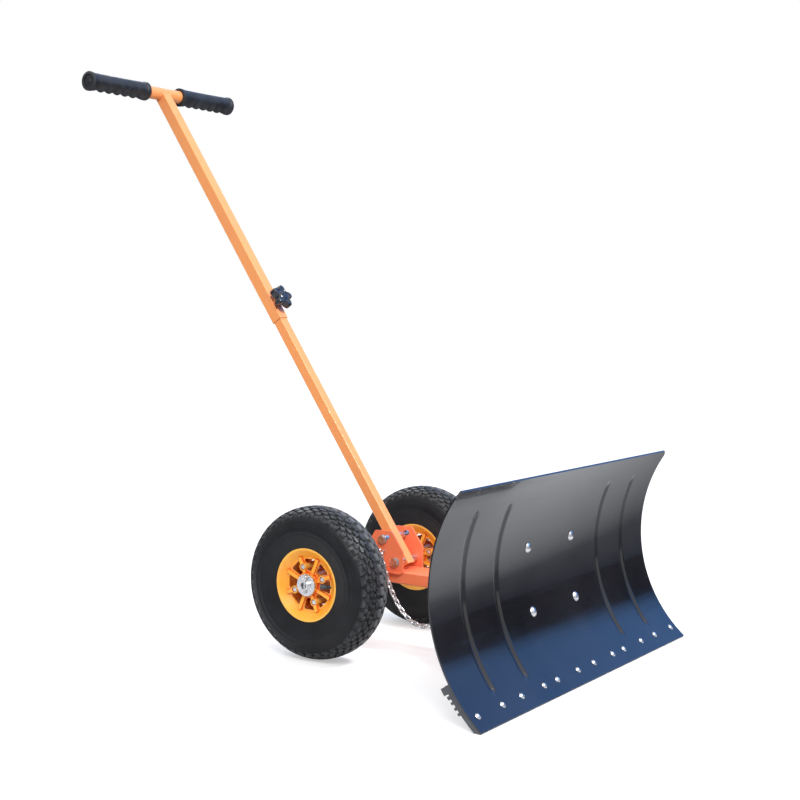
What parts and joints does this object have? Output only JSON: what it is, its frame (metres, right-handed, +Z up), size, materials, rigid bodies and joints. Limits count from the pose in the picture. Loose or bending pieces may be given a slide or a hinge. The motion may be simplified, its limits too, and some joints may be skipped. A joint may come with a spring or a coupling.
{
  "type": "wheeled snow shovel",
  "caption": "Manual snow pusher: a curved black blade that swings and locks, on a tongue and axle with pneumatic wheels and a telescopic orange T-handle that tilts.",
  "frame": {"origin": "on the ground under the middle of the bounding box", "axes": "+Z up, -Y the way the blade faces and the shovel is pushed, +X along the axle to the left-hand side of a person pushing"},
  "size_m": [0.736, 0.9778, 1.0164],
  "materials": {
    "orange_paint": "satin powder coat",
    "rim_paint": "satin powder coat",
    "black_paint": "gloss black paint",
    "zinc_steel": "bright zinc plate",
    "tyre": "matt rubber",
    "rubber": "matt rubber",
    "knob_plastic": "gloss moulded plastic",
    "bronze": "sintered bush",
    "nylon": "white nylon"
  },
  "bodies": {
    "frame": {"axle": "zinc_steel", "axle_tube": "orange_paint", "axle_washers": "zinc_steel", "split_pins": "zinc_steel", "tongue": "orange_paint", "king_bush": "bronze", "thrust_washers": "nylon", "pin_tower": "orange_paint", "detent_screw": "zinc_steel", "handle_bracket_right": "orange_paint", "handle_bracket_left": "orange_paint", "pivot_bolt": "zinc_steel", "pivot_nut": "zinc_steel", "pivot_washers": "zinc_steel", "pivot_spacers": "zinc_steel", "chain_eye": "zinc_steel", "chain": "zinc_steel"},
    "wheel_right": {"tyre_right": "tyre", "inner_tube_right": "rubber", "rim_outer_right": "rim_paint", "rim_inner_right": "rim_paint", "rim_bolts_right": "zinc_steel", "bearings_right": "bronze", "valve_right": "rubber"},
    "wheel_left": {"tyre_left": "tyre", "inner_tube_left": "rubber", "rim_outer_left": "rim_paint", "rim_inner_left": "rim_paint", "rim_bolts_left": "zinc_steel", "bearings_left": "bronze", "valve_left": "rubber"},
    "handle_lower": {"lower_tube": "orange_paint", "tilt_bolt": "zinc_steel", "tilt_nut": "zinc_steel", "tilt_washers": "zinc_steel", "tilt_spacers": "zinc_steel"},
    "handle_upper": {"upper_tube": "orange_paint", "crossbar": "orange_paint", "grip_right": "rubber", "grip_left": "rubber", "clamp_nut": "orange_paint"},
    "knob": {"knob": "knob_plastic", "knob_stud": "zinc_steel"},
    "blade": {"blade_sheet": "black_paint", "scraper": "rubber", "rivets": "zinc_steel", "rivet_washers": "zinc_steel", "blade_bracket_right": "orange_paint", "blade_bracket_left": "orange_paint", "index_plate": "orange_paint", "fork_plate": "orange_paint", "king_pin": "zinc_steel", "king_nut": "zinc_steel", "blade_bolts": "zinc_steel", "blade_bolt_washers": "zinc_steel", "blade_bolt_nuts": "zinc_steel"},
    "lock_pin": {"lock_pin": "zinc_steel", "pull_ring": "zinc_steel"}
  },
  "joints": [
    {"name": "wheel_right_spin", "type": "hinge", "parent": "frame", "child": "wheel_right", "pos_m": [-0.1655, -0.04662, 0.13], "axis": [1, 0, 0], "continuous": true},
    {"name": "wheel_left_spin", "type": "hinge", "parent": "frame", "child": "wheel_left", "pos_m": [0.1655, -0.04662, 0.13], "axis": [1, 0, 0], "continuous": true},
    {"name": "handle_tilt", "type": "hinge", "parent": "frame", "child": "handle_lower", "pos_m": [0, -0.11491, 0.15241], "axis": [1, 0, 0], "range_deg": [-12, 12]},
    {"name": "handle_height", "type": "slide", "parent": "handle_lower", "child": "handle_upper", "axis": [0, 0.5693, 0.8221], "range_m": [-0.12, 0.05]},
    {"name": "knob_turn", "type": "hinge", "parent": "handle_upper", "child": "knob", "pos_m": [0, 0.17821, 0.60384], "axis": [0, -0.8221, 0.5693], "range_deg": [0, 360]},
    {"name": "blade_yaw", "type": "hinge", "parent": "frame", "child": "blade", "pos_m": [0, -0.33662, 0.137], "axis": [0, 0, 1], "range_deg": [-30, 30]},
    {"name": "lock_pin_slide", "type": "slide", "parent": "frame", "child": "lock_pin", "axis": [0, 0, 1], "range_m": [-0.018, 0], "deforming": ["chain"]}
  ]
}
